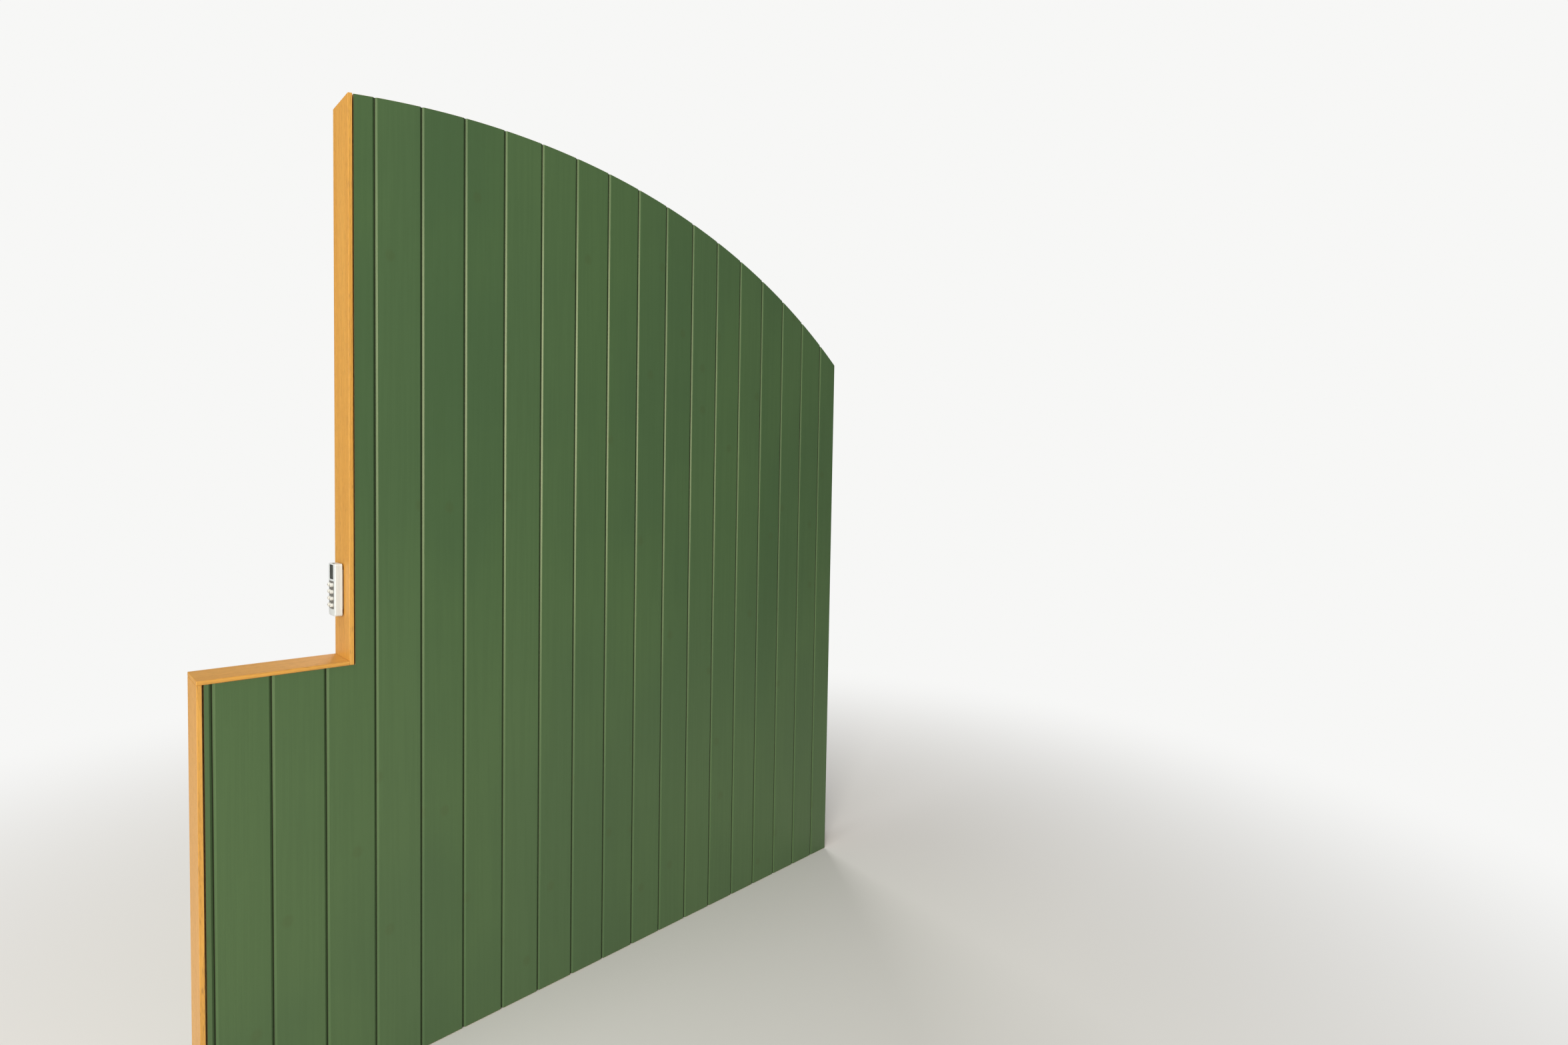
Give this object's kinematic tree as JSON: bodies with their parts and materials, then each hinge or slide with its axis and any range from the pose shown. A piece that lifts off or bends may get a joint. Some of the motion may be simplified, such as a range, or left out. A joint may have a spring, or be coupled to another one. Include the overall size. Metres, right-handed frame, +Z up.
{
  "type": "boarded partition wall",
  "caption": "Stepped partition wall of tongued and grooved boards on a stud frame, scribed to a barrel ceiling, with an oak lined end and ledge.",
  "frame": {"origin": "on the side wall face, at floor level, in the middle of the wall's thickness", "axes": "+X into the side wall, so the wall runs along -X; -Y is the bedroom face; +Z up"},
  "size_m": [2.1367, 0.121, 2.5279],
  "materials": {
    "paint": "satin green paint on softwood",
    "pine": "sawn and planed softwood",
    "oak": "clear satin oil on oak",
    "white_plastic": "fine matt moulded",
    "display": "clear window over a dark display",
    "keypad": "silicone keypad with satin keys"
  },
  "bodies": {
    "root": {"bedroom_board_01": "paint", "bedroom_board_02": "paint", "bedroom_board_03": "paint", "bedroom_board_04": "paint", "bedroom_board_05": "paint", "bedroom_board_06": "paint", "bedroom_board_07": "paint", "bedroom_board_08": "paint", "bedroom_board_09": "paint", "bedroom_board_10": "paint", "bedroom_board_11": "paint", "bedroom_board_12": "paint", "bedroom_board_13": "paint", "bedroom_board_14": "paint", "bedroom_board_15": "paint", "bedroom_board_16": "paint", "bedroom_board_17": "paint", "bedroom_board_18": "paint", "bedroom_board_19": "paint", "bedroom_board_20": "paint", "end_lining": "oak", "end_post": "pine", "handset_body": "white_plastic", "handset_display": "display", "handset_holder": "white_plastic", "handset_keypad": "keypad", "head_rail": "pine", "jamb_lining": "oak", "jamb_post": "pine", "ledge_lining": "oak", "living_board_notched": "paint", "living_boards_low": "paint", "living_boards_tall": "paint", "low_rail": "pine", "noggins": "pine", "sole_plate": "pine", "studs": "pine", "wall_post": "pine"}
  },
  "joints": []
}
